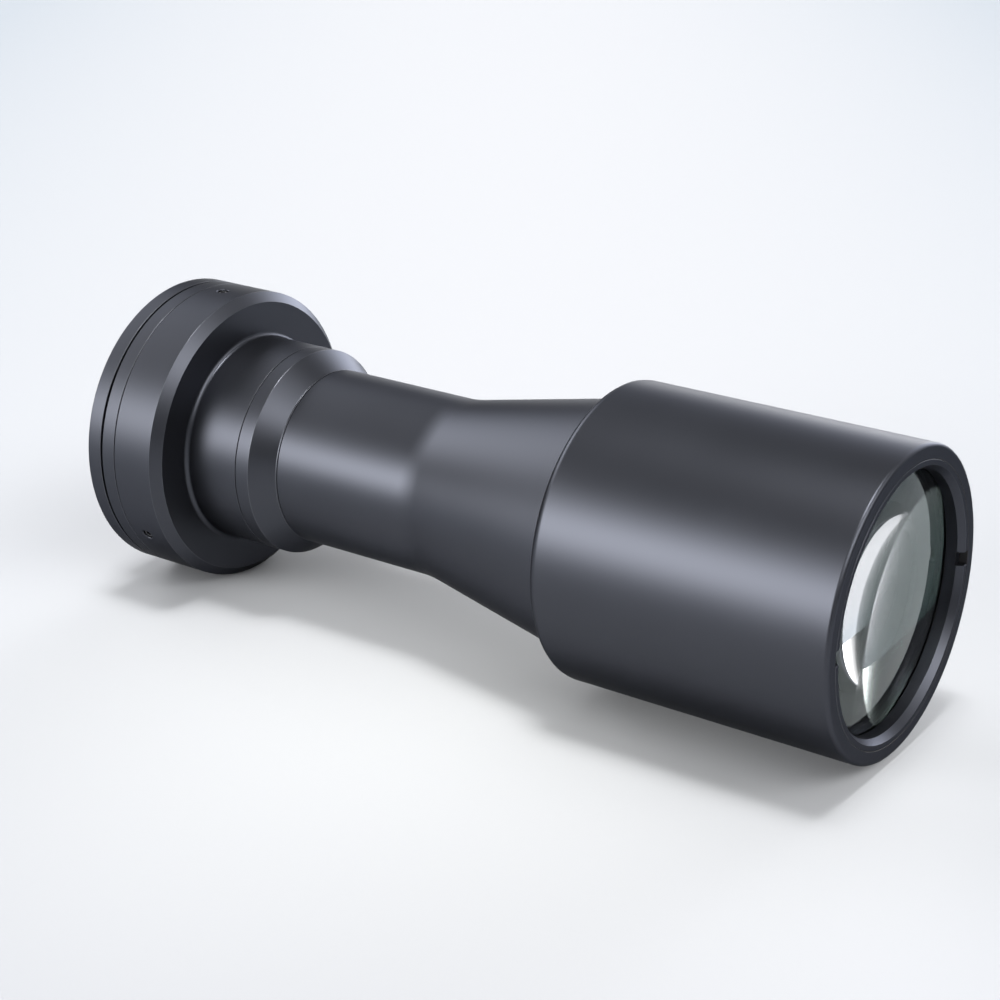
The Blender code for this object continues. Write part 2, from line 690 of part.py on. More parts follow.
def rear_glasses():
    """Cemented rear pair against the rear barrel's seat, and the ring that the camera end shows."""
    radius = REAR_BORE_RADIUS - SEAT_GAP
    vertex = REAR_SEAT - SEAT_GAP + sag(REAR_CROWN_FRONT_CURVE, REAR_SEAT_RADIUS)
    glass(
        "rear_crown_element",
        vertex,
        REAR_CROWN_THICKNESS,
        REAR_CROWN_FRONT_CURVE,
        REAR_CROWN_REAR_CURVE,
        radius,
    )
    flint = vertex - REAR_CROWN_THICKNESS - CEMENT_LAYER
    glass(
        "rear_flint_element",
        flint,
        REAR_FLINT_THICKNESS,
        REAR_CROWN_REAR_CURVE,
        REAR_FLINT_REAR_CURVE,
        radius,
    )
    back = flint - REAR_FLINT_THICKNESS - sag(REAR_FLINT_REAR_CURVE, radius - REAR_RING_WALL)
    slotted_ring(
        "rear_retaining_ring", POCKET_END, back - SEAT_GAP, radius, REAR_RING_WALL, False
    )


def main():
    remove_everything()
    mount_flange()
    rotation_hub()
    flange_screws()
    rear_barrel()
    set_screws()
    shoulder_ring()
    cone_tube()
    front_barrel()
    front_retaining_ring()
    front_glasses()
    aperture_stop()
    middle_glass()
    rear_glasses()


main()
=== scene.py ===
"""Looks for a telecentric lens, laid out as a Blender add-on and run as a script.

The optical axis is X, with the camera end at -X and the object end at +X, and the floor lies under the
ring at the camera end. All sizes are in metres. Each turned piece is an outline in the upright plane
through the axis, given as (along, radius) corners that are rounded and then carried round the axis.
"""

from math import cos, pi, radians, sin

import bpy
import numpy as np
from mathutils import Matrix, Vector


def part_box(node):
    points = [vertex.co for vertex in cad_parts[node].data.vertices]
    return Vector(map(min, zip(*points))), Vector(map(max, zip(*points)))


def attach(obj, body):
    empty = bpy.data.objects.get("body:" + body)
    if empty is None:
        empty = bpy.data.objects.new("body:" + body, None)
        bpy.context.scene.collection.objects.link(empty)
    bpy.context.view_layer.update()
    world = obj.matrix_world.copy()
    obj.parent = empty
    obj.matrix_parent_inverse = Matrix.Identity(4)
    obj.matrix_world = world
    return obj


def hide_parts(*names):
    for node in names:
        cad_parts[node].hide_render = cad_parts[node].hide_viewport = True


bl_info = {
    "name": "Telecentric lens",
    "version": (1, 0, 0),
    "blender": (4, 5, 0),
    "location": "3D View > Sidebar > Lens",
    "description": "Builds the visible pieces and finishes of a telecentric lens, and a studio for it",
    "category": "Object",
}

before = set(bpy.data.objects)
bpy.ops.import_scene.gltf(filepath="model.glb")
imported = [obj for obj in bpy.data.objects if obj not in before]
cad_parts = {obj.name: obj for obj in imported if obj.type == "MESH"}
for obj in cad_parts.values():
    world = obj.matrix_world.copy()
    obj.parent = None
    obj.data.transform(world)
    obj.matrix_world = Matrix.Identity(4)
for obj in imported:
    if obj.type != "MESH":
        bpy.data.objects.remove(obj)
BOX = {node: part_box(node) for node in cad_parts}

ANODISED = "anodised_aluminium"
BLACKENED = "blackened_aluminium"
BLACK_STEEL = "blackened_steel"
COATED_GLASS = "coated_glass"
INKED_EDGE = "inked_edge"
FLOOR = "floor"


def rear(node):
    """Where a frame node starts along the axis."""
    return BOX[node][0].x


def front(node):
    """Where a frame node ends along the axis."""
    return BOX[node][1].x


def reach(node):
    """Largest radius of a frame node that is turned round the axis."""
    return BOX[node][1].z


def span(node):
    """Where a frame node starts and ends along the axis, and its largest radius."""
    return rear(node), front(node), reach(node)


def length(name, default, about):
    """A size in metres that the sidebar shows."""
    return bpy.props.FloatProperty(
        name=name, description=about, default=default, subtype="DISTANCE", unit="LENGTH", precision=5
    )


def how_many(name, default, about):
    """A whole number that the sidebar shows."""
    return bpy.props.IntProperty(name=name, description=about, default=default, min=1)


def share(name, default, about, most=1.0):
    """A plain number that the sidebar shows."""
    return bpy.props.FloatProperty(name=name, description=about, default=default, min=0.0, max=most)


def tint(name, default, about):
    """A colour that the sidebar shows."""
    return bpy.props.FloatVectorProperty(
        name=name, description=about, default=default, size=3, subtype="COLOR", min=0.0, max=1.0
    )


def place_of(name, default, about):
    """A point that the sidebar shows."""
    return bpy.props.FloatVectorProperty(
        name=name, description=about, default=default, size=3, subtype="TRANSLATION", unit="LENGTH"
    )


class MountSizes(bpy.types.PropertyGroup):
    """Sizes of the rings at the camera end and of their screws."""

    collar_radius: length("Collar radius", 0.0360, "Radius of the thread that screws into the camera")
    collar_wall: length("Collar wall", 0.0018, "Thickness of the collar")
    collar_lead: length("Collar lead", 0.0005, "Chamfer where the thread starts")
    relief_width: length("Relief width", 0.0022, "Width of the thread relief at the shoulder")
    relief_depth: length("Relief depth", 0.0005, "Depth of the thread relief")
    thread_pitch: length("Thread pitch", 0.00075, "Rise of the camera thread in one turn")
    thread_depth: length("Thread depth", 0.00046, "Depth of the camera thread")
    throat_taper: share("Throat taper", 0.155, "How fast the throat widens in front of the shoulder")
    groove_depth: length("Groove depth", 0.0010, "Depth of the groove behind the hub")
    groove_width: length("Groove width", 0.0010, "Width of the groove behind the hub")
    spigot_radius: length("Spigot radius", 0.0440, "Radius of the hub's spigot in the clamp ring")
    vee_depth: length("Vee depth", 0.0014, "Depth of the spigot's vee groove")
    vee_half_width: length("Vee half width", 0.0019, "Half the width of the spigot's vee groove")
    vee_place: length("Vee place", 0.0070, "Distance of the set screws from the clamp ring's rear face")
    flange_screws: how_many("Flange screws", 6, "Countersunk screws in the camera face")
    screw_circle: length("Screw circle", 0.0481, "Radius on which the flange screws sit")
    screw_radius: length("Screw radius", 0.0015, "Radius of a flange screw's shank")
    head_radius: length("Head radius", 0.0029, "Radius of a flange screw's head")
    head_sink: length("Head sink", 0.0003, "How far a head lies below the camera face")
    set_screws: how_many("Set screws", 3, "Set screws round the clamp ring")
    seat_round: length("Seat round", 0.0004, "Round on the rim that seats on the camera")
    set_screw_radius: length("Set screw radius", 0.0019, "Radius of a set screw")
    set_screw_sink: length("Set screw sink", 0.0006, "How far a set screw lies below the ring")
    socket_radius: length("Socket radius", 0.00115, "Radius of a screw's socket across its corners")
    gap: length("Gap", 0.0003, "Gap that the frame leaves where two pieces meet")


class BarrelSizes(bpy.types.PropertyGroup):
    """Sizes of the barrels, the shoulder ring, the cone and the front ring."""

    clamp_chamfer: length("Clamp chamfer", 0.0032, "Bevel round the clamp ring's front")
    clamp_wall: length("Clamp wall", 0.0045, "Thickness of the clamp ring's front wall")
    clamp_length: length("Clamp length", 0.0196, "Length of the clamp ring")
    rear_radius: length("Rear barrel radius", 0.0367, "Radius of the rear barrel")
    rear_wall: length("Rear barrel wall", 0.0032, "Wall of the rear barrel")
    root_fillet: length("Root fillet", 0.0017, "Fillet between clamp ring and rear barrel")
    rear_seat_step: length("Rear seat step", 0.0030, "Height of the seat for the rear glass")
    rear_seat_place: length("Rear seat place", 0.0175, "Distance of that seat from the spigot's end")
    rear_seat_width: length("Rear seat width", 0.0020, "Width of that seat")
    shoulder_straight: length("Shoulder straight", 0.0056, "Straight part of the shoulder ring")
    shoulder_taper: length("Shoulder taper", 0.0075, "Length of the shoulder ring's taper")
    tube_radius: length("Tube radius", 0.0309, "Radius of the slim tube")
    lip_wall: length("Lip wall", 0.0027, "Wall of the shoulder ring round the tube's spigot")
    shoulder_seat_step: length("Shoulder seat step", 0.0032, "Height of the shoulder ring's inner seat")
    tube_spigot_length: length("Tube spigot length", 0.0117, "Length of the tube's spigot")
    tube_spigot_wall: length("Tube spigot wall", 0.0032, "Wall of the tube's spigot")
    tube_length: length("Tube length", 0.0551, "Length of the slim tube")
    blend_radius: length("Blend radius", 0.0400, "Soft bend between tube and cone")
    cone_angle: bpy.props.FloatProperty(
        name="Cone angle", description="Slope of the cone", default=radians(11.52), subtype="ANGLE"
    )
    cone_wall: length("Cone wall", 0.0032, "Wall of the cone")
    cone_spigot_step: length("Cone spigot step", 0.0010, "Step down to the spigot in the barrel")
    web_place: length("Web place", 0.0258, "Distance of the web from the shoulder ring")
    web_thickness: length("Web thickness", 0.0040, "Thickness of the web that carries the stop")
    web_step: length("Web step", 0.0032, "Height of the web in the tube's bore")
    barrel_wall: length("Barrel wall", 0.0045, "Wall of the front barrel")
    barrel_rear_round: length("Rear edge round", 0.0034, "Round on the barrel's rear edge")
    barrel_front_round: length("Front edge round", 0.0015, "Round on the barrel's front edge")
    barrel_seat_width: length("Barrel seat width", 0.0060, "Width of the seat for the front glasses")
    barrel_seat_step: length("Barrel seat step", 0.0036, "Height of that seat")
    ring_wall: length("Ring wall", 0.0032, "Wall of the front retaining ring")
    ring_bevel_width: length("Ring bevel width", 0.0015, "Width of the bevel in the mouth")
    ring_bevel_depth: length("Ring bevel depth", 0.0022, "Depth of the bevel in the mouth")
    slot_width: length("Slot width", 0.0046, "Width of the front ring's spanner slots")
    slot_depth: length("Slot depth", 0.0027, "Depth of those slots")
    baffle_pitch: length("Baffle pitch", 0.0012, "Spacing of the anti-glare grooves inside")
    baffle_depth: length("Baffle depth", 0.0005, "Depth of the anti-glare grooves")
    edge_break: length("Edge break", 0.00022, "Small round that takes the sharpness off an edge")


class GlassSizes(bpy.types.PropertyGroup):
    """Radii of the glasses' faces, positive where a face bulges to the front, and their edges."""

    crown_front: length("Crown front", 0.240, "Radius of the front crown's first face")
    crown_rear: length("Crown rear", -0.150, "Radius where the front crown and flint are cemented")
    flint_rear: length("Flint rear", -0.600, "Radius of the front flint's last face")
    meniscus_front: length("Meniscus front", 0.130, "Radius of the meniscus's front face")
    meniscus_rear: length("Meniscus rear", 0.260, "Radius of the meniscus's rear face")
    middle_front: length("Middle front", 0.070, "Radius of the middle glass's front face")
    middle_rear: length("Middle rear", 0.120, "Radius of the middle glass's rear face")
    rear_crown_front: length("Rear crown front", 0.090, "Radius of the rear crown's first face")
    rear_crown_rear: length("Rear crown rear", -0.110, "Radius where the rear crown and flint are cemented")
    rear_flint_rear: length("Rear flint rear", -0.400, "Radius of the rear flint's last face")
    edge_bevel: length("Edge bevel", 0.0004, "Ground bevel round each glass")
    refraction: share("Refraction", 1.52, "Refractive index of the glass", 2.0)


class FinishLooks(bpy.types.PropertyGroup):
    """Colours and surface of each finish."""

    anodised: tint("Anodised", (0.0597, 0.0625, 0.0731), "Colour of the anodised aluminium")
    anodised_worn: tint("Anodised edge", (0.110, 0.114, 0.127), "Colour where an edge has rubbed")
    anodised_grazing: tint("Anodised grazing", (0.36, 0.36, 0.36), "Reflections along the anodised surface")
    anodised_roughness: share("Anodised roughness", 0.376, "Roughness of the anodised aluminium")
    blackened: tint("Blackened", (0.010, 0.010, 0.011), "Colour of the anti-glare black inside")
    blackened_roughness: share("Blackened roughness", 0.6, "Roughness of the anti-glare black")
    steel: tint("Black steel", (0.030, 0.030, 0.033), "Colour of the black oxide on the screws")
    steel_worn: tint("Black steel edge", (0.12, 0.12, 0.125), "Colour where the black oxide has rubbed")
    steel_roughness: share("Black steel roughness", 0.3, "Roughness of the black oxide")
    glass: tint("Glass", (0.97, 0.985, 0.98), "Colour of the glass itself")
    coating: tint("Coating", (0.55, 0.80, 0.72), "Tint of the reflections from the coating")
    ink: tint("Ink", (0.006, 0.006, 0.006), "Colour of the ink on the glasses' edges")
    ink_thin: tint("Thin ink", (0.014, 0.014, 0.015), "Colour where that ink is thin")


class StudioLooks(bpy.types.PropertyGroup):
    """Floor, lights and camera."""

    # The pool colour is a painted pool of light in front of and under the lens, which also lightens the
    # lens's cast shadow
    floor_painted_light_pool: tint("Floor pool", (0.530, 0.535, 0.535), "Floor colour in front of the lens")
    floor_middle: tint("Floor middle", (0.404, 0.408, 0.422), "Floor colour round the lens")
    # The edge colour is painted falloff of light: the floor painted darker and bluer far to the sides
    floor_painted_falloff_edge: tint("Floor edge", (0.325, 0.347, 0.374), "Floor colour far to the sides")
    # Where the painted pool of light lies and how far it reaches
    painted_light_pool_middle: place_of("Pool middle", (0.164, -0.035, 0.0), "Palest place on the floor")
    painted_light_pool_width: length("Pool width", 0.221, "How far from there, sideways, the pool ends")
    painted_light_pool_length: length("Pool length", 0.202, "How far from there, away from the camera, it does")
    # Where the painted falloff of light starts and how far it reaches
    painted_falloff_middle: place_of("Fade middle", (0.058, 0.124, 0.0), "Where the fade to the edge colour starts")
    painted_falloff_width: length("Fade width", 0.449, "How far from there, sideways, the edge colour is reached")
    painted_falloff_length: length("Fade length", 4.48, "How far from there, away from the camera, it is")
    lamp: tint("Lamp", (0.985, 0.99, 1.0), "Colour of the lamps")
    lamp_strength: share("Lamp strength", 1.0, "Strength of all the lamps together", 10.0)
    sky_strength: share("Sky strength", 0.0117, "Strength of the even light between the lamps", 10.0)
    paper: tint("Backdrop", (0.758, 0.814, 0.886), "Colour beyond the floor")
    camera_place: place_of("Camera place", (0.53638, -0.56468, 0.27779), "Where the camera stands")
    camera_turn: bpy.props.FloatVectorProperty(
        name="Camera turn",
        description="How the camera is turned",
        default=(radians(68.07), 0.0, radians(35.08)),
        size=3,
        subtype="EULER",
    )
    camera_lens: share("Camera lens", 79.87, "Focal length on a 36 mm sensor", 500.0)


MOUNT, BARREL, GLASS, FINISH, STUDIO = "lens_mount", "lens_barrel", "lens_glass", "lens_finish", "lens_studio"
GROUPS = {
    MOUNT: MountSizes,
    BARREL: BarrelSizes,
    GLASS: GlassSizes,
    FINISH: FinishLooks,
    STUDIO: StudioLooks,
}


def chosen(group):
    """The values of one property group, as the sidebar has them."""
    return getattr(bpy.context.scene, group)


# How finely it is drawn: round pieces, inner rings, screws, corners, glasses, and one turn of the thread
ROUND_SIDES = 240
INNER_SIDES = 160
SCREW_SIDES = 48
CORNER_STEPS = 4
GLASS_RINGS = 24
THREAD_ROWS = 10

# A corner whose half angle is this near to straight or to folded back, in radians, stays a point
STRAIGHT = 0.02

# Shorter rounds aren't drawn, nearer places are the same, and nothing is divided by less
NO_ROUND = 1e-7
NEAR = 1e-6
TINY = 1e-12

# The least bend at an edge that is shaded sharp
SHARP = radians(32)

# Rounds on edges: the least that doesn't rub pale, then those at joints, rims, bevels and screws
UNWORN_ROUND = 0.001
JOINT_ROUND = 0.00012
RIM_ROUND = 0.00015
BEVEL_ROUND = 0.0003
SCREW_ROUND = 0.0001

# Chamfers of the screws, the flat at a set screw's tip, the sockets, and the holes of the set screws
HEAD_CHAMFER = 0.0002
SET_SCREW_CHAMFER = 0.0003
SET_SCREW_FLAT = 0.0007
FLANGE_SOCKET_DEPTH = 0.0012
SET_SOCKET_DEPTH = 0.0022
SOCKET_LIP = 0.0001
HOLE_CHAMFER = 0.00025
HOLE_ROOM = 0.0001

# How far a cutter runs past the face that it cuts
OVERSHOOT = 0.001

# Anti-glare grooves: plain wall beside them in barrel and cone, and how far the cone's crests stand in
BARREL_PLAIN = 0.001
CONE_PLAIN = 0.004
CONE_CREST = 0.0004

# Room round the ring in the mouth
MOUTH_ROOM = 0.00012

# Rings inside: wall, and the end where spanner slots open, 1 for the front, -1 for the rear, 0 for none
STOP_RADIUS = 0.009
INNER_RINGS = {
    "front_spacer_ring": (0.0029, 0),
    "aperture_stop": (reach("aperture_stop") - STOP_RADIUS, 0),
    "stop_retaining_ring": (0.0030, 1),
    "middle_retaining_ring": (0.0028, -1),
    "rear_retaining_ring": (0.0030, -1),
}
INNER_SLOT_WIDTH = 0.0030
INNER_SLOT_DEPTH = 0.0015

# Half the width of the floor, and where the camera starts to see
FLOOR_REACH = 5.0
CLIP_START = 0.01

# Soft lamps of the studio: strength, then height and its spread, and direction and its spread, in degrees
LAMPS = {
    "side": (14.2, 15.4, 13.9, -120.1, 16.8),
    "far side": (33.2, -4.0, 24.1, 95.9, 19.6),
    "camera end": (10.3, 31.9, 9.4, 170.0, 26.9),
    "overhead": (80.0, 85.6, 3.4, -69.5, 101.4),
    "object end": (8.5, 42.1, 10.8, -16.7, 43.1),
}


def math_node(operation, swapped=False):
    """A method that adds one Math node for a Python operator, with its two numbers swapped or not."""

    def method(self, other):
        return self.maths(operation, *((other, self) if swapped else (self, other)))

    return method


class Signal:
    """A number that changes over a surface; Python's operators add the Math nodes for it."""

    __add__ = __radd__ = math_node("ADD")
    __sub__ = math_node("SUBTRACT")
    __rsub__ = math_node("SUBTRACT", swapped=True)
    __mul__ = __rmul__ = math_node("MULTIPLY")
    __truediv__ = math_node("DIVIDE")
    __rtruediv__ = math_node("DIVIDE", swapped=True)
    __pow__ = math_node("POWER")
    __rpow__ = math_node("POWER", swapped=True)

    def __init__(self, finish, socket):
        self.finish = finish
        self.socket = socket

    def maths(self, operation, *values):
        """The number from one Math node, which takes this number alone if it is given no values."""
        return self.finish.add("Math", {"operation": operation}, dict(enumerate(values or (self,))))

    def held(self):
        """The number, kept between 0 and 1."""
        return self.finish.add("Clamp", {}, {"Value": self})


class Finish:
    """The node tree of one material or of the world."""

    def __init__(self, tree):
        self.tree = tree
        tree.nodes.clear()

    def add(self, kind, settings, values, out=0):
        """Add a node: its settings first, then the values or links of its sockets."""
        node = self.tree.nodes.new(f"ShaderNode{kind}")
        for name, setting in settings.items():
            setattr(node, name, setting)
        for name, value in values.items():
            if isinstance(value, Signal):
                self.tree.links.new(value.socket, node.inputs[name])
            else:
                node.inputs[name].default_value = value
        return Signal(self, node.outputs[out]) if node.outputs else None

    def place(self):
        """The point on the piece, in metres."""
        return self.add("TexCoord", {}, {}, "Object")

    def noise(self, scale, detail, stretch=(1.0, 1.0, 1.0)):
        """Soft noise between 0 and 1; stretch says how much finer it is along each axis."""
        vector = self.add("VectorMath", {"operation": "MULTIPLY"}, {0: self.place(), 1: stretch})
        return self.add("TexNoise", {}, {"Vector": vector, "Scale": scale, "Detail": detail})

    def blend(self, mask, low, high):
        """Colour low where the mask is 0 and high where it is 1."""
        colours = {"Factor": mask, 6: rgba(low), 7: rgba(high)}
        return self.add("Mix", {"data_type": "RGBA"}, colours, 2)

    def bump(self, strength, distance, height):
        """Fine relief, for a shader's Normal."""
        return self.add("Bump", {}, {"Strength": strength, "Distance": distance, "Height": height})

    def worn_edge(self):
        """How far a point is onto a worn edge, from 0 to 1."""
        return self.add("Attribute", {"attribute_name": "edge"}, {}, "Fac")


def rgba(colour):
    """A colour as a socket takes it."""
    return colour if isinstance(colour, Signal) else (*colour, 1.0)


def shade(colour, factor):
    """A colour made paler or darker."""
    return tuple(factor * part for part in colour)


def anodised(finish):
    """Satin anodised aluminium: faint lathe rings, a little mottling, and edges that have rubbed paler."""
    looks = chosen(FINISH)
    rings = finish.noise(1.0, 2.0, (5200.0, 60.0, 60.0))
    mottle = finish.noise(38.0, 3.0)
    grain = finish.noise(6500.0, 1.0)
    wear = (finish.worn_edge() * (0.35 + 0.9 * finish.noise(420.0, 3.0))).held()
    mottled = finish.blend(mottle, shade(looks.anodised, 0.95), shade(looks.anodised, 1.05))
    return {
        "Base Color": finish.blend(wear, mottled, looks.anodised_worn),
        "Roughness": looks.anodised_roughness - 0.015 + 0.03 * mottle - 0.06 * wear,
        "Metallic": 0.95,
        "Specular Tint": rgba(looks.anodised_grazing),
        "Normal": finish.bump(0.12, 0.00002, rings * 0.6 + grain * 0.4),
    }


def blackened(finish):
    """Matt anti-glare black, a little dusty where it is broken up."""
    looks = chosen(FINISH)
    dust = finish.noise(260.0, 4.0)
    return {
        "Base Color": finish.blend(dust, looks.blackened, shade(looks.blackened, 1.8)),
        "Roughness": looks.blackened_roughness + 0.1 * dust,
        "Normal": finish.bump(0.2, 0.00003, finish.noise(5200.0, 2.0)),
    }


def black_steel(finish):
    """Black oxide on steel, rubbed on its edges, with fine drawn marks."""
    looks = chosen(FINISH)
    marks = finish.noise(1900.0, 3.0)
    rubbed = (finish.worn_edge() * marks * 1.4).held()
    return {
        "Base Color": finish.blend(rubbed, looks.steel, looks.steel_worn),
        "Roughness": looks.steel_roughness + 0.14 * marks,
        "Metallic": 0.9,
        "Normal": finish.bump(0.15, 0.00002, marks),
    }


def coated_glass(finish):
    """Coated optical glass, clear inside, with tinted reflections and a trace of dust."""
    looks = chosen(FINISH)
    dust = finish.noise(140.0, 5.0)
    return {
        "Base Color": rgba(looks.glass),
        "Roughness": 0.012 + 0.03 * dust ** 4.0,
        "IOR": chosen(GLASS).refraction,
        "Transmission Weight": 1.0,
        "Specular Tint": rgba(looks.coating),
    }


def inked_edge(finish):
    """Black ink on the ground edge of a glass, which stops stray light."""
    ink = finish.noise(900.0, 2.0)
    looks = chosen(FINISH)
    return {
        "Base Color": finish.blend(ink, looks.ink, looks.ink_thin),
        "Roughness": 0.55 + 0.2 * ink,
    }


def away_from(finish, middle, width, reach_back):
    """How far a point of the floor lies from a middle, 1 on an ellipse that is turned as the camera is."""
    values = {
        "Vector": finish.place(),
        "Location": middle,
        "Rotation": (0.0, 0.0, chosen(STUDIO).camera_turn[2]),
        "Scale": (width, reach_back, 1.0),
    }
    place = finish.add("Mapping", {"vector_type": "TEXTURE"}, values)
    return finish.add("VectorMath", {"operation": "LENGTH"}, {0: place}, "Value").held()


def floor_with_painted_light(finish):
    """Pale studio floor with painted light: a painted pool of light in front of and under the lens, which
    also lightens the lens's cast shadow, and painted falloff of light, darker and faintly blue far to the
    sides.
    """
    looks = chosen(STUDIO)
    # Painted pool of light in front of and under the lens, which also lightens its cast shadow
    pool = away_from(finish, looks.painted_light_pool_middle, looks.painted_light_pool_width, looks.painted_light_pool_length)
    # Painted falloff of light: the floor painted darker and bluer far to the sides
    fade = away_from(finish, looks.painted_falloff_middle, looks.painted_falloff_width, looks.painted_falloff_length) ** 2.0
    near = finish.blend(pool, looks.floor_painted_light_pool, looks.floor_middle)
    return {"Color": finish.blend(fade, near, looks.floor_painted_falloff_edge)}


# The function that works out the sockets of each finish
FINISHES = {
    ANODISED: anodised,
    BLACKENED: blackened,
    BLACK_STEEL: black_steel,
    COATED_GLASS: coated_glass,
    INKED_EDGE: inked_edge,
    FLOOR: floor_with_painted_light,
}


def finish_named(name):
    """The finish of that name, made when it is first wanted."""
    material = bpy.data.materials.get(f"{name}_finish")
    if not material:
        material = bpy.data.materials.new(f"{name}_finish")
        material.use_nodes = True
        finish = Finish(material.node_tree)
        kind = "BsdfDiffuse" if name == FLOOR else "BsdfPrincipled"
        finish.add("OutputMaterial", {}, {"Surface": finish.add(kind, {}, FINISHES[name](finish))})
    return material


def unit(vectors):
    """Each row, scaled to length 1."""
    return vectors / np.maximum(np.linalg.norm(vectors, axis=1, keepdims=True), TINY)


def signed_area(x, y):
    """Twice the area that an outline goes round, positive from x to y: the sum of x * next y - next x * y."""
    return (x * np.roll(y, -1) - np.roll(x, -1) * y).sum()


def rounded(corners, closed=True):
    """Round every corner of an outline and mark the rounded points.

    A corner is (along, radius) or (along, radius, round). With a and b the unit directions to its
    neighbours, t the reach of the round along each and r = t * tan(half the angle between a and b),
    the arc's centre is the corner plus (a + b) scaled to the length t / cos(half), and the arc runs
    from corner + t * a to corner + t * b by turning one radius into the other at an even rate.
    Returns the points and, for each, how far it is onto a small worn edge: 1 on its crest, 0 off it.
    """
    default = chosen(BARREL).edge_break
    sized = np.array([(*corner, default)[:3] for corner in corners])
    points, wanted = sized[:, :2], sized[:, 2]
    before, after = np.roll(points, 1, axis=0) - points, np.roll(points, -1, axis=0) - points
    if not closed:
        wanted[[0, -1]] = 0.0
    to_before, to_after = unit(before), unit(after)
    half = np.arccos(np.clip((to_before * to_after).sum(axis=1), -1.0, 1.0)) / 2.0
    room = 0.45 * np.minimum(np.linalg.norm(before, axis=1), np.linalg.norm(after, axis=1))
    straight = half > pi / 2.0 - STRAIGHT
    half = np.clip(half, STRAIGHT, pi / 2.0 - STRAIGHT)
    reach_along = np.minimum(wanted / np.tan(half), room)
    sharp = straight | (reach_along < NO_ROUND)
    reach_along = np.where(sharp, 0.0, reach_along)[:, None]
    half = half[:, None]
    middle = points + unit(to_before + to_after) * reach_along / np.cos(half)
    start, end = points + to_before * reach_along - middle, points + to_after * reach_along - middle
    turn = (pi - 2.0 * half)[:, :, None]
    steps = np.linspace(0.0, 1.0, CORNER_STEPS + 1)[None, :, None]
    swept = np.sin((1.0 - steps) * turn) * start[:, None, :] + np.sin(steps * turn) * end[:, None, :]
    arcs = middle[:, None, :] + swept / np.sin(turn)
    keep = np.ones(arcs.shape[:2], dtype=bool)
    keep[sharp, 1:] = False
    arcs[sharp, 0] = points[sharp]
    marks = np.where(wanted < UNWORN_ROUND, 1.0, 0.0)[:, None] * np.sin(pi * steps[0, :, 0])[None, :]
    return arcs[keep], marks[keep]


def grid_mesh(name, along, radius, marks, closed, sides):
    """Mesh of a surface of two parameters, the place along the outline and the angle round the axis.

    A point is (along, radius * sin(angle), radius * cos(angle)). An open outline starts and ends on
    the axis, and each of those ends is one shared point, so that the piece is closed.
    """
    rows = len(marks)
    angle = np.arange(sides) * 2.0 * pi / sides
    along = np.broadcast_to(along, (rows, sides))
    radius = np.broadcast_to(radius, (rows, sides))
    places = np.stack((along, radius * np.sin(angle), radius * np.cos(angle)), axis=-1)
    number = np.arange(rows * sides).reshape(rows, sides)
    if not closed:
        number[[0, -1]] = number[[0, -1], :1]
    upper = np.roll(number, -1, axis=0) if closed else number[1:]
    lower = number if closed else number[:-1]
    faces = np.stack((lower, np.roll(lower, -1, axis=1), np.roll(upper, -1, axis=1), upper), axis=-1)
    used, faces = np.unique(faces, return_inverse=True)
    faces = faces.reshape(-1, 4)
    if signed_area(along[:, 0], radius[:, 0]) < 0.0:
        faces = faces[:, ::-1]
    corners = [[c for i, c in enumerate(face) if c != face[i - 1]] for face in faces.tolist()]
    mesh = bpy.data.meshes.new(name)
    mesh.from_pydata(places.reshape(-1, 3)[used].tolist(), [], corners)
    worn = np.repeat(marks, sides)[used]
    mesh.attributes.new("edge", "FLOAT", "POINT").data.foreach_set("value", worn)
    mesh.update()
    return mesh


def turned(name, corners, closed=True, sides=ROUND_SIDES):
    """Mesh of a plain turned piece from its corners."""
    points, marks = rounded(corners, closed)
    return grid_mesh(name, points[:, :1], points[:, 1:], marks, closed, sides)


def placed(name, data):
    """A new object in the scene."""
    thing = bpy.data.objects.new(name, data)
    bpy.context.scene.collection.objects.link(thing)
    return thing


def shown(name, mesh, slot, cutters=()):
    """Put a finished mesh in the scene in place of its frame node, cut by the cutters."""
    piece = placed(f"{name}_look", mesh)
    for cutter in cutters:
        boolean = piece.modifiers.new(cutter.name, "BOOLEAN")
        boolean.operation = "DIFFERENCE"
        boolean.object = cutter
    if cutters:
        evaluated = piece.evaluated_get(bpy.context.evaluated_depsgraph_get())
        piece.data = bpy.data.meshes.new_from_object(evaluated)
        piece.data.name = name
        piece.modifiers.clear()
        for cutter in cutters:
            bpy.data.objects.remove(cutter, do_unlink=True)
    piece.data.shade_smooth()
    piece.data.set_sharp_from_angle(angle=SHARP)
    weighted = piece.modifiers.new("even shading", "WEIGHTED_NORMAL")
    weighted.keep_sharp = True
    piece.data.materials.clear()
    piece.data.materials.append(finish_named(slot))
    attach(piece, "root")
    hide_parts(name)
    return piece


def refinished(piece, name, radius):
    """Give another finish to the faces of a turned piece that lie within a radius of the axis.

    The radius is a number, or a function of the place along the axis.
    """
    piece.data.materials.append(finish_named(name))
    middles = np.empty(3 * len(piece.data.polygons), dtype=np.float32)
    piece.data.polygons.foreach_get("center", middles)
    along, side, up = middles.reshape(-1, 3).T
    within = np.hypot(side, up) < (radius(along) if callable(radius) else radius)
    piece.data.polygons.foreach_set("material_index", within.astype(np.int32))


def metal_piece(name, corners, inside, cutters=()):
    """Show a turned piece of anodised metal that is blackened within a radius of the axis."""
    refinished(shown(name, turned(name, corners), ANODISED, cutters), BLACKENED, inside)


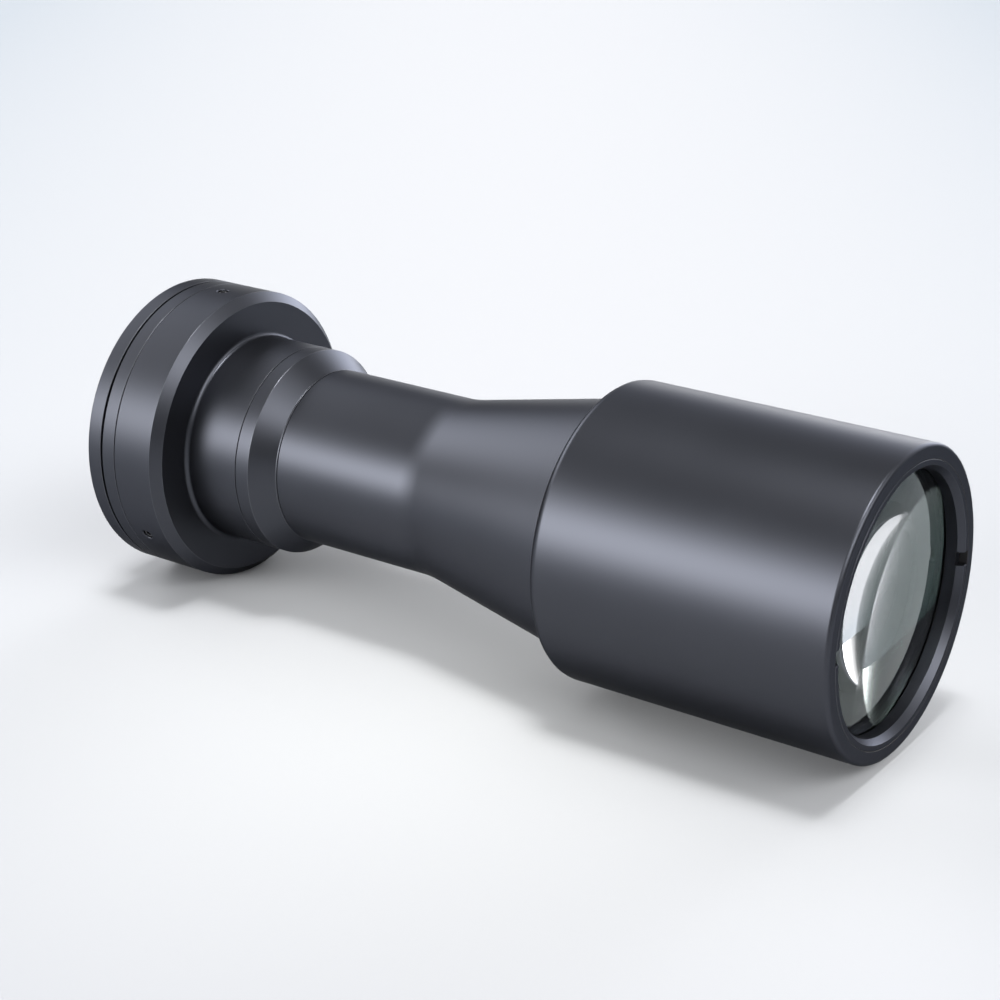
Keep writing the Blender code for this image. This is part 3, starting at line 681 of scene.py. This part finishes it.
def merged(name, mesh, places):
    """One mesh of a shape repeated at several places, each point p going to place * p."""
    points = np.array([corner.co for corner in mesh.vertices])
    homogeneous = np.c_[points, np.ones(len(points))]
    moved = np.concatenate([(homogeneous @ np.array(place).T)[:, :3] for place in places])
    faces = [list(face.vertices) for face in mesh.polygons]
    copies = [[c + k * len(points) for c in face] for k in range(len(places)) for face in faces]
    whole = bpy.data.meshes.new(name)
    whole.from_pydata(moved.tolist(), [], copies)
    return whole


def around_axis(copies, offset, seat, facing):
    """Frames spread evenly round the optical axis, from the top towards +Y, the first part of a step on."""
    angles = 2.0 * pi * (np.arange(copies) + offset) / copies
    return [Matrix.Rotation(-angle, 4, "X") @ seat @ facing for angle in angles]


def flange_screw_places():
    """Each flange screw's own frame, its X axis out of its head towards the camera."""
    sizes = chosen(MOUNT)
    seat = Matrix.Translation((sizes.head_sink, 0.0, sizes.screw_circle))
    return around_axis(sizes.flange_screws, 0.5, seat, Matrix.Rotation(pi, 4, "Z"))


def vee_middle():
    """Where the set screws stand along the axis, over the middle of the spigot's vee groove."""
    sizes = chosen(MOUNT)
    return rear("rear_barrel") - sizes.gap / 2.0 + sizes.vee_place


def set_screw_places():
    """Each set screw's own frame, its X axis out of its socket, away from the optical axis."""
    sizes = chosen(MOUNT)
    seat = Matrix.Translation((vee_middle(), 0.0, reach("rear_barrel") - sizes.set_screw_sink))
    return around_axis(sizes.set_screws, 0.0, seat, Matrix.Rotation(radians(-90), 4, "Y"))


def hole_cutters(name, corners, places):
    """One cutter made of a turned hole shape repeated at several places."""
    return placed(name, merged(name, turned(name, corners, closed=False, sides=SCREW_SIDES), places))


def slot_cutter(name, x_open, x_floor, width, across):
    """A bar across the lens that cuts both spanner slots: a rounded rectangle carried along Y."""
    step = np.sign(x_open - x_floor)
    mouth = x_open + step * OVERSHOOT
    edge = chosen(BARREL).edge_break
    half = width / 2.0
    corners = [
        (x_floor, -half, 2.0 * edge),
        (x_open - step * edge, -half, 0.0),
        (mouth, -half - edge - OVERSHOOT, 0.0),
        (mouth, half + edge + OVERSHOOT, 0.0),
        (x_open - step * edge, half, 0.0),
        (x_floor, half, 2.0 * edge),
    ]
    points = rounded(corners)[0]
    count = len(points)
    ends = [np.insert(points, 1, y, axis=1) for y in (-across, across)]
    ring = np.arange(count)
    sides = np.stack((ring, np.roll(ring, -1), np.roll(ring, -1) + count, ring + count), axis=1)
    faces = [*sides.tolist(), ring[::-1].tolist(), (ring + count).tolist()]
    mesh = bpy.data.meshes.new(name)
    mesh.from_pydata(np.concatenate(ends).tolist(), [], faces)
    if signed_area(*points.T) > 0.0:
        mesh.flip_normals()
    return placed(name, mesh)


def throat(x):
    """Radius of the opening behind the rear glass: straight in the collar, then widening."""
    sizes = chosen(MOUNT)
    return sizes.collar_radius - sizes.collar_wall + sizes.throat_taper * np.maximum(0.0, x)


def within_throat(x):
    """Radius just outside the throat's wall."""
    return throat(x) + chosen(MOUNT).gap


def flange_holes():
    """Cutter for the countersunk holes of the flange screws."""
    sizes = chosen(MOUNT)
    head, hole = sizes.head_radius + sizes.gap, sizes.screw_radius + sizes.gap
    depth = front("mount_flange") + 2.0 * sizes.gap
    corners = [
        (2.0 * sizes.gap, 0.0),
        (2.0 * sizes.gap, head + 2.0 * HEAD_CHAMFER, 0.0),
        (sizes.head_sink, head + HEAD_CHAMFER, 0.0),
        (0.0, head, 0.0),
        (hole - head, hole, 0.0),
        (-depth, hole, 0.0),
        (-depth, 0.0),
    ]
    return hole_cutters("flange_holes", corners, flange_screw_places())


class LENS_OT_mount_flange(bpy.types.Operator):
    """Build the ring that seats on the camera, with its threaded collar and countersunk holes."""

    bl_idname = "lens.mount_flange"
    bl_label = "Mount flange"

    def execute(self, context):
        sizes = chosen(MOUNT)
        back, face, ring = span("mount_flange")
        thread_start, thread_end = back + sizes.collar_lead, -sizes.relief_width
        rows = round((thread_end - thread_start) / sizes.thread_pitch * THREAD_ROWS)
        thread = np.linspace(thread_start, thread_end, rows)
        relief = sizes.collar_radius - sizes.relief_depth
        corners = [
            (back, throat(0.0)),
            (back, sizes.collar_radius - sizes.collar_lead, 0.0),
            *[(x, sizes.collar_radius, 0.0) for x in thread],
            (thread_end, relief),
            (0.0, relief, 0.0),
            (0.0, ring, sizes.seat_round),
            (face, ring),
            (face, throat(face)),
            (0.0, throat(0.0)),
        ]
        points, marks = rounded(corners)
        along, radius = points[:, :1], points[:, 1:]
        turn = np.arange(ROUND_SIDES)[None, :] / ROUND_SIDES
        on_thread = (along > thread_start - NEAR) & (along < thread_end + NEAR)
        on_thread &= radius > sizes.collar_radius - sizes.collar_lead / 4.0
        phase = (along / sizes.thread_pitch - turn) % 1.0
        fade = np.clip((thread_end - along) / sizes.thread_pitch, 0.0, 1.0)
        depth = sizes.thread_depth * fade * (1.0 - np.abs(2.0 * phase - 1.0))
        radius = radius - np.where(on_thread, depth, 0.0)
        mesh = grid_mesh("mount_flange", along, radius, marks, True, ROUND_SIDES)
        piece = shown("mount_flange", mesh, ANODISED, [flange_holes()])
        refinished(piece, BLACKENED, within_throat)
        return {"FINISHED"}


class LENS_OT_rotation_hub(bpy.types.Operator):
    """Build the hub behind the groove, with the spigot that the set screws clamp."""

    bl_idname = "lens.rotation_hub"
    bl_label = "Rotation hub"

    def execute(self, context):
        sizes = chosen(MOUNT)
        start, end, ring = span("rotation_hub")
        face = rear("rear_barrel") - sizes.gap
        vee = vee_middle()
        groove_end = front("mount_flange") + sizes.groove_width
        groove, spigot = ring - sizes.groove_depth, sizes.spigot_radius
        corners = [
            (start, throat(start)),
            (start, groove, 0.0),
            (groove_end, groove, 0.0),
            (groove_end, ring, JOINT_ROUND),
            (face, ring),
            (face, spigot),
            (vee - sizes.vee_half_width, spigot),
            (vee, spigot - sizes.vee_depth),
            (vee + sizes.vee_half_width, spigot),
            (end, spigot),
            (end, throat(end)),
        ]
        metal_piece("rotation_hub", corners, within_throat)
        return {"FINISHED"}


def screw_mesh(name, rows, socket_depth, socket_radius):
    """A screw round its own X axis, its socket at x = 0: circles, then hexagons down into the socket.

    The hexagon's radius at an angle is its flat's distance divided by the cosine of the angle that is
    left when the nearest flat's angle is taken off. Only a narrow band at the socket's mouth is worn.
    """
    angle = np.arange(SCREW_SIDES) * 2.0 * pi / SCREW_SIDES
    flat = socket_radius * cos(radians(30.0))
    hexagon = flat / np.cos((angle + radians(30.0)) % radians(60.0) - radians(30.0))
    circle = np.ones(SCREW_SIDES)
    points, marks = rounded(rows, closed=False)
    points, marks = points[:-1], marks[:-1]
    mouth = 1.12 * socket_radius
    drill_tip = -socket_depth - 0.3 * socket_radius
    along = [*points[:, 0], 0.0, -SOCKET_LIP, -2.0 * SOCKET_LIP, -socket_depth, drill_tip]
    radius = [*(point * circle for point in points[:, 1]), mouth * circle, *[hexagon] * 3, 0.0 * circle]
    marks = np.array([*marks, 0.0, 1.0, 0.0, 0.0, 0.0])
    return grid_mesh(name, np.array(along)[:, None], np.array(radius), marks, False, SCREW_SIDES)


def screws(name, mesh, places):
    """Put a screw at each of its places."""
    for number, place in enumerate(places):
        copy = mesh.copy()
        copy.transform(place)
        shown(f"{name}_{number + 1}", copy, BLACK_STEEL)


class LENS_OT_screws(bpy.types.Operator):
    """Build the countersunk flange screws and the cone-point set screws."""

    bl_idname = "lens.screws"
    bl_label = "Screws"

    def execute(self, context):
        sizes = chosen(MOUNT)
        low, high = BOX["flange_screw_1"]
        rows = [
            (low.x - high.x, 0.0),
            (low.x - high.x, sizes.screw_radius, 2.0 * SCREW_ROUND),
            (sizes.screw_radius - sizes.head_radius, sizes.screw_radius),
            (-HEAD_CHAMFER, sizes.head_radius, 0.0),
            (0.0, sizes.head_radius - HEAD_CHAMFER, SCREW_ROUND),
            (0.0, 0.0),
        ]
        mesh = screw_mesh("flange_screw", rows, FLANGE_SOCKET_DEPTH, sizes.socket_radius)
        screws("flange_screw", mesh, flange_screw_places())
        low, high = BOX["set_screw_1"]
        tip = low.z - high.z
        slope = sizes.vee_depth / sizes.vee_half_width
        rows = [
            (tip, 0.0),
            (tip, SET_SCREW_FLAT, SCREW_ROUND),
            (tip + (sizes.set_screw_radius - SET_SCREW_FLAT) * slope, sizes.set_screw_radius),
            (-SET_SCREW_CHAMFER, sizes.set_screw_radius, 0.0),
            (0.0, sizes.set_screw_radius - SET_SCREW_CHAMFER, SCREW_ROUND),
            (0.0, 0.0),
        ]
        mesh = screw_mesh("set_screw", rows, SET_SOCKET_DEPTH, sizes.socket_radius)
        screws("set_screw", mesh, set_screw_places())
        return {"FINISHED"}


def set_screw_holes():
    """Cutter for the set screws' holes, with a small chamfer at the clamp ring's outside."""
    sizes = chosen(MOUNT)
    hole = sizes.set_screw_radius + HOLE_ROOM
    face = sizes.set_screw_sink
    above = 2.0 * OVERSHOOT
    depth = reach("rear_barrel") - sizes.spigot_radius
    corners = [
        (face + above, 0.0),
        (face + above, hole + HOLE_CHAMFER + above, 0.0),
        (face - HOLE_CHAMFER, hole, 0.0),
        (-depth, hole, 0.0),
        (-depth, 0.0),
    ]
    return hole_cutters("set_screw_holes", corners, set_screw_places())


class LENS_OT_rear_barrel(bpy.types.Operator):
    """Build the clamp ring and the rear barrel, turned in one piece."""

    bl_idname = "lens.rear_barrel"
    bl_label = "Clamp ring and rear barrel"

    def execute(self, context):
        sizes, mount = chosen(BARREL), chosen(MOUNT)
        start, end, ring = span("rear_barrel")
        clamp_end = start - mount.gap / 2.0 + sizes.clamp_length
        pocket_end = clamp_end - sizes.clamp_wall
        bore = sizes.rear_radius - sizes.rear_wall
        seat = front("rotation_hub") + sizes.rear_seat_place
        corners = [
            (start, mount.spigot_radius + mount.gap),
            (start, ring, RIM_ROUND),
            (clamp_end - sizes.clamp_chamfer, ring, BEVEL_ROUND),
            (clamp_end, ring - sizes.clamp_chamfer, BEVEL_ROUND),
            (clamp_end, sizes.rear_radius, sizes.root_fillet),
            (end, sizes.rear_radius, JOINT_ROUND),
            (end, bore),
            (seat + sizes.rear_seat_width, bore),
            (seat + sizes.rear_seat_width, bore - sizes.rear_seat_step),
            (seat, bore - sizes.rear_seat_step),
            (seat, bore),
            (pocket_end, bore),
            (pocket_end, mount.spigot_radius + mount.gap),
        ]
        metal_piece("rear_barrel", corners, bore + mount.gap, [set_screw_holes()])
        return {"FINISHED"}


class LENS_OT_shoulder_ring(bpy.types.Operator):
    """Build the ring that steps down to the slim tube."""

    bl_idname = "lens.shoulder_ring"
    bl_label = "Shoulder ring"

    def execute(self, context):
        sizes, gap = chosen(BARREL), chosen(MOUNT).gap
        spigot_start, end = rear("shoulder_ring"), front("shoulder_ring")
        start = front("rear_barrel") + gap
        taper_start = start - gap / 2.0 + sizes.shoulder_straight
        bore = sizes.tube_radius - sizes.lip_wall
        seat = end - gap / 2.0 - sizes.tube_spigot_length
        spigot = sizes.rear_radius - sizes.rear_wall - gap
        corners = [
            (spigot_start, bore - sizes.shoulder_seat_step),
            (spigot_start, spigot),
            (start, spigot),
            (start, sizes.rear_radius, JOINT_ROUND),
            (taper_start, sizes.rear_radius, 2.0 * BEVEL_ROUND),
            (taper_start + sizes.shoulder_taper, sizes.tube_radius, BEVEL_ROUND),
            (end, sizes.tube_radius, JOINT_ROUND),
            (end, bore),
            (seat, bore),
            (seat, bore - sizes.shoulder_seat_step),
        ]
        metal_piece("shoulder_ring", corners, bore + gap)
        return {"FINISHED"}


def baffled(start, end, start_radius, end_radius):
    """Saw-tooth corners of the anti-glare grooves along an inner wall whose radius changes evenly."""
    sizes = chosen(BARREL)
    teeth = int(abs(end - start) / sizes.baffle_pitch)
    places = np.linspace(start, end, teeth + 1)
    crests = np.linspace(start_radius, end_radius, teeth + 1)
    roots = np.stack((places[:-1], crests[:-1] + sizes.baffle_depth), axis=1)
    tips = np.stack((places[1:], crests[1:]), axis=1)
    return [(x, radius, 0.0) for x, radius in np.stack((roots, tips), axis=1).reshape(-1, 2).tolist()]


def cone_start():
    """Where the cone starts along the axis."""
    return front("shoulder_ring") + chosen(MOUNT).gap / 2.0 + chosen(BARREL).tube_length


def cone_radius(x):
    """Radius of the tube and the cone outside: the tube's, and from the cone's start on its slope as well."""
    sizes = chosen(BARREL)
    return sizes.tube_radius + np.maximum(0.0, x - cone_start()) * np.tan(sizes.cone_angle)


class LENS_OT_cone_tube(bpy.types.Operator):
    """Build the slim tube and the long cone, with the soft bend between them."""

    bl_idname = "lens.cone_tube"
    bl_label = "Tube and cone"

    def execute(self, context):
        sizes, gap = chosen(BARREL), chosen(MOUNT).gap
        spigot_start, spigot_end = rear("cone_tube"), front("cone_tube")
        start = front("shoulder_ring") + gap
        step = rear("front_barrel") - gap
        spigot = cone_radius(rear("front_barrel")) - sizes.cone_spigot_step
        inner = sizes.tube_radius - sizes.cone_wall
        joint = sizes.tube_radius - sizes.lip_wall - gap
        bore = joint - sizes.tube_spigot_wall
        web = start - gap / 2.0 + sizes.web_place
        baffle_end = cone_start() + CONE_PLAIN
        crests = [cone_radius(x) - sizes.cone_wall - CONE_CREST for x in (step, baffle_end)]
        corners = [
            (spigot_start, bore),
            (spigot_start, joint),
            (start, joint),
            (start, sizes.tube_radius, JOINT_ROUND),
            (cone_start(), sizes.tube_radius, sizes.blend_radius),
            (step, cone_radius(step), JOINT_ROUND),
            (step, spigot),
            (spigot_end, spigot),
            (spigot_end, cone_radius(step) - sizes.cone_wall),
            *baffled(step, baffle_end, *crests),
            (cone_start(), inner),
            (web + sizes.web_thickness, inner),
            (web + sizes.web_thickness, bore - sizes.web_step),
            (web, bore - sizes.web_step),
            (web, bore),
        ]
        metal_piece("cone_tube", corners, lambda x: cone_radius(x) - sizes.cone_wall / 2.0)
        return {"FINISHED"}


class LENS_OT_front_barrel(bpy.types.Operator):
    """Build the large barrel that holds the front glasses."""

    bl_idname = "lens.front_barrel"
    bl_label = "Front barrel"

    def execute(self, context):
        sizes, gap = chosen(BARREL), chosen(MOUNT).gap
        start, end, barrel = span("front_barrel")
        rear_bore = cone_radius(start) - sizes.cone_spigot_step + gap
        relief = barrel - sizes.barrel_wall
        glass = reach("front_crown_element") + gap
        ring = reach("front_retaining_ring") + MOUTH_ROOM
        seat = rear("front_meniscus_element") - gap
        seat_start = seat - sizes.barrel_seat_width
        seat_radius = reach("front_crown_element") - sizes.barrel_seat_step
        relief_start = front("cone_tube") + gap
        ring_seat = rear("front_retaining_ring") - 2.0 * gap
        corners = [
            (start, rear_bore),
            (start, barrel, sizes.barrel_rear_round),
            (end, barrel, sizes.barrel_front_round),
            (end, ring, RIM_ROUND),
            (ring_seat, ring),
            (ring_seat, glass),
            (seat, glass),
            (seat, seat_radius),
            (seat_start, seat_radius),
            (seat_start, relief),
            *baffled(seat_start - BARREL_PLAIN, relief_start + BARREL_PLAIN, relief, relief),
            (relief_start, relief),
            (relief_start, rear_bore),
        ]
        metal_piece("front_barrel", corners, relief + 2.0 * gap)
        return {"FINISHED"}


class LENS_OT_front_retaining_ring(bpy.types.Operator):
    """Build the ring in the mouth, with its bevel and two spanner slots."""

    bl_idname = "lens.front_retaining_ring"
    bl_label = "Front retaining ring"

    def execute(self, context):
        sizes = chosen(BARREL)
        start, end, ring = span("front_retaining_ring")
        clear = ring - sizes.ring_wall
        corners = [
            (start, clear),
            (start, ring),
            (end, ring, RIM_ROUND),
            (end, clear + sizes.ring_bevel_width, RIM_ROUND),
            (end - sizes.ring_bevel_depth, clear, RIM_ROUND),
        ]
        mesh = turned("front_retaining_ring", corners)
        bar = slot_cutter("front_slots", end, end - sizes.slot_depth, sizes.slot_width, 1.1 * ring)
        shown("front_retaining_ring", mesh, ANODISED, [bar])
        return {"FINISHED"}


class LENS_OT_inner_rings(bpy.types.Operator):
    """Build the spacer, the stop and the retaining rings inside."""

    bl_idname = "lens.inner_rings"
    bl_label = "Inner rings"

    def execute(self, context):
        for node, (wall, slots) in INNER_RINGS.items():
            start, end, outer = span(node)
            bore = outer - wall
            mesh = turned(node, [(start, bore), (start, outer), (end, outer), (end, bore)], sides=INNER_SIDES)
            mouth = end if slots > 0 else start
            floor = mouth - slots * INNER_SLOT_DEPTH
            bars = []
            if slots:
                bars = [slot_cutter(f"{node}_slots", mouth, floor, INNER_SLOT_WIDTH, 1.1 * outer)]
            shown(node, mesh, BLACKENED, bars)
        return {"FINISHED"}


def sag(curve, radius):
    """How far a spherical surface has fallen back from its vertex: |R| - sqrt(R*R - r*r), signed."""
    depth = abs(curve) - np.sqrt(curve * curve - radius * radius)
    return depth if curve > 0.0 else -depth


def glass_rows(node, front_curve, rear_curve):
    """Outline of a lens element from its front vertex, over the ground edge, to its rear vertex."""
    edge = reach(node)
    bevel = chosen(GLASS).edge_bevel
    heights = np.linspace(0.0, 1.0, GLASS_RINGS) * (edge - bevel)
    front_vertex = front(node) if front_curve > 0.0 else front(node) + sag(front_curve, edge)
    rear_vertex = rear(node) if rear_curve < 0.0 else rear(node) + sag(rear_curve, edge)
    front_rows = np.stack((front_vertex - sag(front_curve, heights), heights), axis=1)
    rear_rows = np.stack((rear_vertex - sag(rear_curve, heights), heights), axis=1)[::-1]
    bevels = [
        (front_vertex - sag(front_curve, edge - bevel) - 0.6 * bevel, edge),
        (rear_vertex - sag(rear_curve, edge - bevel) + 0.6 * bevel, edge),
    ]
    return np.concatenate((front_rows, bevels, rear_rows))


class LENS_OT_glasses(bpy.types.Operator):
    """Build the six glasses, with clear faces and inked edges."""

    bl_idname = "lens.glasses"
    bl_label = "Glasses"

    def execute(self, context):
        curves = chosen(GLASS)
        elements = {
            "front_crown_element": (curves.crown_front, curves.crown_rear),
            "front_flint_element": (curves.crown_rear, curves.flint_rear),
            "front_meniscus_element": (curves.meniscus_front, curves.meniscus_rear),
            "middle_element": (curves.middle_front, curves.middle_rear),
            "rear_crown_element": (curves.rear_crown_front, curves.rear_crown_rear),
            "rear_flint_element": (curves.rear_crown_rear, curves.rear_flint_rear),
        }
        for node, (front_curve, rear_curve) in elements.items():
            rows = glass_rows(node, front_curve, rear_curve)
            marks = np.zeros(len(rows))
            mesh = grid_mesh(node, rows[:, :1], rows[:, 1:], marks, False, ROUND_SIDES)
            clear = reach(node) - 1.1 * curves.edge_bevel
            refinished(shown(node, mesh, INKED_EDGE), COATED_GLASS, clear)
        return {"FINISHED"}


def lamp_glow(finish, direction, height, lamp):
    """Light of one soft lamp seen in a direction of the sky.

    It is strength * exp(k * (c - 1) - ((height - rise) / tall) ** 2), where c is the cosine of the
    angle round from the lamp's own direction and k = 2 / wide ** 2.
    """
    strength, rise, tall, turn, wide = lamp
    level = finish.add("VectorMath", {"operation": "MULTIPLY"}, {0: direction, 1: (1.0, 1.0, 0.0)})
    level = finish.add("VectorMath", {"operation": "NORMALIZE"}, {0: level})
    towards = (cos(radians(turn)), sin(radians(turn)), 0.0)
    cosine = finish.add("VectorMath", {"operation": "DOT_PRODUCT"}, {0: level, 1: towards}, "Value")
    off = (height - radians(rise)) / radians(tall)
    return strength * (2.0 / radians(wide) ** 2 * (cosine - 1.0) - off * off).maths("EXPONENT")


def studio_world():
    """A dark studio with soft lamps, which the camera itself sees as plain pale paper."""
    looks = chosen(STUDIO)
    world = bpy.data.worlds.new("studio")
    world.use_nodes = True
    finish = Finish(world.node_tree)
    direction = finish.add("TexCoord", {}, {}, "Generated")
    height = finish.add("SeparateXYZ", {}, {"Vector": direction}, "Z").maths("ARCSINE")
    glow = sum((lamp_glow(finish, direction, height, lamp) for lamp in LAMPS.values()), looks.sky_strength)
    lit = finish.add("Background", {}, {"Color": rgba(looks.lamp), "Strength": glow * looks.lamp_strength})
    paper = finish.add("Background", {}, {"Color": rgba(looks.paper), "Strength": 1.0})
    seen = finish.add("LightPath", {}, {}, "Is Camera Ray")
    finish.add("OutputWorld", {}, {"Surface": finish.add("MixShader", {}, {0: seen, 1: lit, 2: paper})})
    bpy.context.scene.world = world


class LENS_OT_stage(bpy.types.Operator):
    """Set up the floor, the lights and the camera."""

    bl_idname = "lens.stage"
    bl_label = "Studio"

    def execute(self, context):
        looks = chosen(STUDIO)
        floor_mesh = bpy.data.meshes.new("studio_floor")
        low, wide = -reach("rear_barrel"), FLOOR_REACH
        corners = [(-wide, -wide, low), (wide, -wide, low), (wide, wide, low), (-wide, wide, low)]
        floor_mesh.from_pydata(corners, [], [(0, 1, 2, 3)])
        floor_mesh.materials.append(finish_named(FLOOR))
        placed("studio_floor", floor_mesh)
        studio_world()
        view = bpy.data.cameras.new("studio_camera")
        view.lens = looks.camera_lens
        view.clip_start = CLIP_START
        camera = placed("studio_camera", view)
        camera.location = looks.camera_place
        camera.rotation_euler = looks.camera_turn
        context.scene.camera = camera
        context.scene.view_settings.view_transform = "Standard"
        return {"FINISHED"}


PIECES = (
    LENS_OT_mount_flange,
    LENS_OT_rotation_hub,
    LENS_OT_screws,
    LENS_OT_rear_barrel,
    LENS_OT_shoulder_ring,
    LENS_OT_cone_tube,
    LENS_OT_front_barrel,
    LENS_OT_front_retaining_ring,
    LENS_OT_inner_rings,
    LENS_OT_glasses,
    LENS_OT_stage,
)


class LENS_PT_sidebar(bpy.types.Panel):
    """Lists the operators and the values in the 3D view's sidebar."""

    bl_idname = "LENS_PT_sidebar"
    bl_label = "Telecentric lens"
    bl_space_type = "VIEW_3D"
    bl_region_type = "UI"
    bl_category = "Lens"

    def draw(self, context):
        for piece in PIECES:
            self.layout.operator(piece.bl_idname)
        for group, sizes in GROUPS.items():
            box = self.layout.box()
            for name in sizes.__annotations__:
                box.prop(getattr(context.scene, group), name)


def register():
    for kind in (*GROUPS.values(), *PIECES, LENS_PT_sidebar):
        bpy.utils.register_class(kind)
    for group, sizes in GROUPS.items():
        setattr(bpy.types.Scene, group, bpy.props.PointerProperty(type=sizes))


def unregister():
    for group in GROUPS:
        delattr(bpy.types.Scene, group)
    for kind in reversed((*GROUPS.values(), *PIECES, LENS_PT_sidebar)):
        bpy.utils.unregister_class(kind)


def main():
    register()
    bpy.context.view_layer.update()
    for piece in PIECES:
        group, action = piece.bl_idname.split(".")
        getattr(getattr(bpy.ops, group), action)()


if __name__ == "__main__":
    main()
